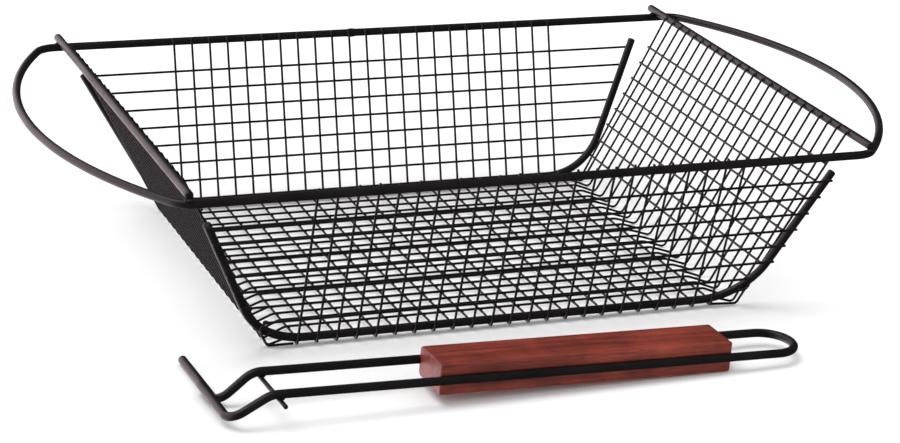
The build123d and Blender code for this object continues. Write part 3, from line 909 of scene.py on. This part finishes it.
def build_stop_wire():
    """Thin wire across the underside of both legs."""
    z = -(ROD_R + STOP_WIRE_D / 2 + GAP)
    path = laid(sample_line(vec(STOP_X, STOP_Y0, z), vec(STOP_X, STOP_Y1, z), 4))
    tube_piece("handle_stop_wire", HANDLE_FINISH, path, STOP_WIRE_D / 2, 16, 0.5)


def build_handle_welds():
    parts = MeshParts()

    def bead(centre, normal, radii):
        axes = axes_from(ALONG_Y, normal) @ placement_np[:3, :3].T
        add_bead(parts, laid(centre), axes, radii, 0.08)
    # two rows between the overlapping rod ends
    across = unit(vec(tail_step, 0, tail_step))
    for y in np.arange(LEG_Y + HOOK_BEAD_FROM, CROSS_END_Y - 1.0, HOOK_BEAD_PITCH):
        for q in (-1, 1):
            middle = vec((HOOK_X + tail_x) / 2, y + 0.5 * q, (-HOOK_DROP + tail_z) / 2)
            bead(middle + across * q * HOOK_BEAD_OUT, across * q, HOOK_BEAD)
    # thin wire on both legs
    for side in (-1, 1):
        for q in (-1, 1):
            bead(vec(STOP_X + q * 1.2, side * LEG_Y, -ROD_R + 0.05), ALONG_Z, STOP_BEAD)
    finish_piece(parts.make("handle_weld_beads"), ("handle", "handle_rod_coating", mat_weld))


build_handle_rod()
build_stop_wire()
build_handle_welds()

# ------------------------------------------------------------------ wooden grip
GROOVE_R = ROD_R + 0.07
FAR_EDGE_R, NEAR_EDGE_R, END_EDGE_R = 3.2, 1.1, 0.9
GROOVE_LIP, LIP_IN, LIP_Z = 0.35, 0.12, 0.08    # eased edge of the grooves
N_EASE, N_BODY = 4, 46                   # steps round an end edge, stations along the body


def grip_profile():
    """Cross-section in (y, z), counter-clockwise seen from +X: a block with a groove for
    each leg in its side faces, well rounded far edges and lightly eased near edges."""
    w, t = GRIP_W / 2, GRIP_T / 2
    points = []

    def arc(y, z, r, a0, a1, n):
        for i in range(n + 1):
            a = a0 + (a1 - a0) * i / n
            points.append((y + r * cos(a), z + r * sin(a)))

    def line(p, q, n):
        for i in range(1, n):
            points.append((p[0] + (q[0] - p[0]) * i / n, p[1] + (q[1] - p[1]) * i / n))
    half = acos((LEG_Y - w) / GROOVE_R)
    mouth = GROOVE_R * sin(half)
    angles = [pi + half * (1 - 2 * i / 12) for i in range(1, 12)]
    groove = [(LEG_Y + GROOVE_R * cos(a), GROOVE_R * sin(a)) for a in angles]
    groove = [(w, -mouth - GROOVE_LIP), (w - LIP_IN, -mouth - LIP_Z), *groove,
              (w - LIP_IN, mouth + LIP_Z), (w, mouth + GROOVE_LIP)]
    far_r, near_r = FAR_EDGE_R, NEAR_EDGE_R
    arc(w - far_r, -t + far_r, far_r, -pi / 2, 0, 8)
    line((w, -t + far_r), groove[0], 4)
    points.extend(groove)
    line(groove[-1], (w, t - far_r), 4)
    arc(w - far_r, t - far_r, far_r, 0, pi / 2, 8)
    line((w - far_r, t), (-w + near_r, t), 14)
    arc(-w + near_r, t - near_r, near_r, pi / 2, pi, 5)
    near_groove = [(-y, -z) for y, z in groove]
    line((-w, t - near_r), near_groove[0], 4)
    points.extend(near_groove)
    line(near_groove[-1], (-w, -t + near_r), 4)
    arc(-w + near_r, -t + near_r, near_r, pi, 3 * pi / 2, 5)
    line((-w + near_r, -t), (w - far_r, -t), 14)
    return np.array(points)


def in_groove(y, z):
    w = GRIP_W / 2
    return abs(z) < ROD_R + 0.1 and abs(abs(y) - w) > 0.05 and abs(y) > w - 3


def grip_stations():
    """(x, inset) along the grip: the end edges are eased by a quarter round."""
    half = GRIP_L / 2
    turns = [pi / 2 * i / N_EASE for i in range(N_EASE + 1)]
    ease = [(-half + END_EDGE_R * (1 - sin(a)), END_EDGE_R * (1 - cos(a))) for a in turns]
    body = np.linspace(-half + END_EDGE_R, half - END_EDGE_R, N_BODY)
    return ease[::-1] + [(x, 0.0) for x in body[1:-1]] + [(-x, inset) for x, inset in ease]


def build_grip():
    profile = grip_profile()
    tangents = np.roll(profile, -1, 0) - np.roll(profile, 1, 0)
    tangents /= np.linalg.norm(tangents, axis=1)[:, None]
    normals = np.stack([tangents[:, 1], -tangents[:, 0]], 1)
    stations = grip_stations()
    verts, faces = [], []
    n = len(profile)
    for x, inset in stations:
        for (y, z), normal in zip(profile, normals):
            # only the outer edges are eased: the groove walls keep their shape
            k = 0.0 if in_groove(y, z) else 1.0
            verts.append((x, y - normal[0] * inset * k, z - normal[1] * inset * k))
    for i in range(len(stations) - 1):
        for k in range(n):
            l = (k + 1) % n
            faces.append((i * n + k, (i + 1) * n + k, (i + 1) * n + l, i * n + l))
    last = (len(stations) - 1) * n
    faces.append(tuple(range(n)))
    faces.append(tuple(range(last + n - 1, last - 1, -1)))
    mesh = bpy.data.meshes.new("handle_grip_wood")
    mesh.from_pydata((laid(np.array(verts)) * MM).tolist(), [], faces)
    mesh.validate()
    mesh.update()
    bm = bmesh.new()
    bm.from_mesh(mesh)
    bmesh.ops.triangulate(bm, faces=[f for f in bm.faces if len(f.verts) > 8])
    bmesh.ops.recalc_face_normals(bm, faces=bm.faces)
    bm.to_mesh(mesh)
    bm.free()
    mesh.polygons.foreach_set("use_smooth", [True] * len(mesh.polygons))
    mesh.set_sharp_from_angle(angle=radians(42))
    return link_object("handle_grip_wood", mesh)


def stained_wood():
    """Red-brown stained wood with its grain along the grip."""
    material, nt, shader = new_material("stained_hardwood")
    link = nt.links.new
    coords = add_node(nt, "ShaderNodeTexCoord")
    # turn object coordinates to the grip's own axes
    inverse = placement.inverted()
    own = add_node(nt, "ShaderNodeMapping")
    own.inputs["Rotation"].default_value = tuple(inverse.to_euler("XYZ"))
    own.inputs["Location"].default_value = tuple(inverse.to_translation() * MM)
    link(coords.outputs["Object"], own.inputs["Vector"])

    def grain(scale, location, **settings):
        noise = add_node(nt, "ShaderNodeTexNoise", Scale=1.0, **settings)
        stretch = add_node(nt, "ShaderNodeMapping", Scale=scale, Location=location)
        link(own.outputs["Vector"], stretch.inputs["Vector"])
        link(stretch.outputs["Vector"], noise.inputs["Vector"])
        return noise.outputs["Fac"]

    def multiply():
        return add_node(nt, "ShaderNodeMix", data_type="RGBA", blend_type="MULTIPLY",
                        Factor=1.0)
    bands = grain((9.0, 150.0, 150.0), (0, 0, 0), Detail=4.0, Roughness=0.55, Distortion=0.6)
    streaks = grain((28.0, 620.0, 620.0), (3.1, 1.7, 0.4), Detail=5.0, Roughness=0.65)
    pores = grain((140.0, 2300.0, 2300.0), (1.3, 5.2, 2.2), Detail=2.0, Roughness=0.5)
    blotches = grain((75.0, 38.0, 38.0), (0.3, 2.2, 7.2), Detail=2.0, Roughness=0.5)
    colour = add_ramp(nt, bands, [(0.28, (0.108, 0.0195, 0.0125)),
                                  (0.50, (0.185, 0.034, 0.021)),
                                  (0.74, (0.265, 0.060, 0.038))])
    tints = (
        (streaks, [(0.30, (0.58, 0.54, 0.54)), (0.55, grey(1.0)), (0.80, (1.16, 1.14, 1.12))]),
        (pores, [(0.30, (0.45, 0.42, 0.42)), (0.42, grey(1.0))]),
        (blotches, [(0.32, (0.78, 0.78, 0.80)), (0.68, (1.12, 1.12, 1.10))]),
    )
    for factor, stops in tints:
        mix = multiply()
        tint = add_ramp(nt, factor, stops)
        link(colour, mix.inputs["A"])
        link(tint, mix.inputs["B"])
        colour = mix.outputs["Result"]
    stain = multiply()
    link(colour, stain.inputs["A"])
    stain.inputs["B"].default_value = (1.20, 0.85, 0.70, 1)
    link(stain.outputs["Result"], shader.inputs["Base Color"])
    gloss = add_ramp(nt, streaks, [(0.2, grey(0.52)), (0.8, grey(0.40))])
    link(gloss, shader.inputs["Roughness"])
    height = add_node(nt, "ShaderNodeMath", operation="ADD")
    link(streaks, height.inputs[0])
    link(pores, height.inputs[1])
    relief = add_node(nt, "ShaderNodeBump", Strength=0.35, Distance=0.0003)
    link(height.outputs["Value"], relief.inputs["Height"])
    link(relief.outputs["Normal"], shader.inputs["Normal"])
    shader.inputs["Specular IOR Level"].default_value = 0.5
    return material


grip = build_grip()
mat_wood = stained_wood()
finish_piece(grip, ("handle", "stained_wood", mat_wood), "handle_grip")


# ------------------------------------------------------------------ CAD nodes
def node_material(name):
    if name == "handle_grip":
        return mat_wood
    if name.startswith("handle"):
        return mat_handle
    if name == "rim_wire" or name in ("left_crossbar", "right_crossbar",
                                      "front_side_rod", "back_side_rod"):
        return mat_rod
    return mat_wire


# the nodes that the pieces stand for carry the same finishes
for node_name, node_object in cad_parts.items():
    node_object.data.materials.clear()
    node_object.data.materials.append(node_material(node_name))

# ------------------------------------------------------------------ stage
FLOOR_HALF, FLOOR_Z = 60.0, -0.0004      # m
# what glossy surfaces mirror: a dim room with one broad softbox, behind and to the left
BOX_DIRECTION = Vector((-0.80, 0.58, -0.10)).normalized()
BOX_COLOUR = (1.0, 0.84, 0.87, 1)
# cosine of the angle to the softbox, to strength: dim room to full glow
BOX_FALLOFF = {"From Min": 0.25, "From Max": 0.85, "To Min": 0.05, "To Max": 2.5}


def softbox_strength(nt, direction, facing):
    """Glow that rises as direction turns to facing; returns the strength output."""
    dot = add_node(nt, "ShaderNodeVectorMath", operation="DOT_PRODUCT")
    dot.inputs[1].default_value = facing
    nt.links.new(direction, dot.inputs[0])
    falloff = add_node(nt, "ShaderNodeMapRange", interpolation_type="SMOOTHSTEP",
                       **BOX_FALLOFF)
    nt.links.new(dot.outputs["Value"], falloff.inputs["Value"])
    return falloff.outputs["Result"]


def build_floor():
    """White matt floor. Glossy rays see the softbox's glow carried on below the horizon."""
    mesh = bpy.data.meshes.new("floor")
    corners = [(x * FLOOR_HALF, y * FLOOR_HALF, FLOOR_Z)
               for x, y in ((-1, -1), (1, -1), (1, 1), (-1, 1))]
    mesh.from_pydata(corners, [], [(0, 1, 2, 3)])
    floor = link_object("floor", mesh)
    material, nt, shader = new_material("floor_white")
    link = nt.links.new
    noise = add_node(nt, "ShaderNodeTexNoise", Scale=2.0)
    white = add_ramp(nt, noise.outputs["Fac"], [(0.0, grey(0.90)), (1.0, grey(0.905))])
    link(white, shader.inputs["Base Color"])
    shader.inputs["Roughness"].default_value = 1.0
    shader.inputs["Specular IOR Level"].default_value = 0.0
    glow = add_node(nt, "ShaderNodeEmission", Color=BOX_COLOUR)
    geometry = add_node(nt, "ShaderNodeNewGeometry")
    # Incoming points back along the ray, so the softbox direction is reversed
    strength = softbox_strength(nt, geometry.outputs["Incoming"], -BOX_DIRECTION)
    link(strength, glow.inputs["Strength"])
    rays = add_node(nt, "ShaderNodeLightPath")
    mix = add_node(nt, "ShaderNodeMixShader")
    link(rays.outputs["Is Glossy Ray"], mix.inputs["Fac"])
    link(shader.outputs["BSDF"], mix.inputs[1])
    link(glow.outputs["Emission"], mix.inputs[2])
    link(mix.outputs["Shader"], nt.nodes["Material Output"].inputs["Surface"])
    mesh.materials.append(material)


def build_world():
    """White to the camera and as light, dim with a softbox to glossy rays."""
    world = bpy.data.worlds.new("studio")
    bpy.context.scene.world = world
    world.use_nodes = True
    nt = world.node_tree
    nt.nodes.clear()
    link = nt.links.new
    output = add_node(nt, "ShaderNodeOutputWorld")
    rays = add_node(nt, "ShaderNodeLightPath")

    def background(colour):
        return add_node(nt, "ShaderNodeBackground", Color=colour, Strength=1.0)
    seen, light, mirrored = (background(c) for c in ((1, 1, 1, 1), (1, 1, 1, 1), BOX_COLOUR))
    coords = add_node(nt, "ShaderNodeTexCoord")
    strength = softbox_strength(nt, coords.outputs["Generated"], BOX_DIRECTION)
    link(strength, mirrored.inputs["Strength"])
    surface = light.outputs["Background"]
    for ray, special in (("Is Glossy Ray", mirrored), ("Is Camera Ray", seen)):
        mix = add_node(nt, "ShaderNodeMixShader")
        link(rays.outputs[ray], mix.inputs["Fac"])
        link(surface, mix.inputs[1])
        link(special.outputs["Background"], mix.inputs[2])
        surface = mix.outputs["Shader"]
    link(surface, output.inputs["Surface"])


def build_sun(name, direction, strength, angle_deg):
    light = bpy.data.lights.new(name, "SUN")
    light.energy = strength
    light.angle = radians(angle_deg)
    ob = bpy.data.objects.new(name, light)
    ob.rotation_mode = "QUATERNION"
    ob.rotation_quaternion = Vector(direction).to_track_quat("-Z", "Y")
    bpy.context.scene.collection.objects.link(ob)


def build_camera():
    """Looks from the front left and above."""
    data = bpy.data.cameras.new("camera")
    data.sensor_fit = "HORIZONTAL"
    data.sensor_width = 36.0
    data.lens = 107.51388
    data.shift_x = -0.075046667
    data.shift_y = 0.038455556
    data.clip_start, data.clip_end = 0.05, 200
    camera = bpy.data.objects.new("camera", data)
    location = Vector((-0.583268, -1.489488, 0.588820))
    right = (0.926511, -0.371915, 0.057071)
    up = (0.078717, 0.339908, 0.937159)
    back = (-0.367943, -0.863795, 0.344205)
    turn = Matrix((right, up, back)).transposed().to_4x4()
    camera.matrix_world = Matrix.Translation(location) @ turn
    bpy.context.scene.collection.objects.link(camera)
    bpy.context.scene.camera = camera


build_floor()
build_world()
build_sun("key", direction=(0.40, -0.10, -0.95), strength=1.35, angle_deg=40)
build_camera()
bpy.context.scene.view_settings.view_transform = "Standard"
bpy.context.scene.view_settings.look = "None"

bpy.context.view_layer.update()
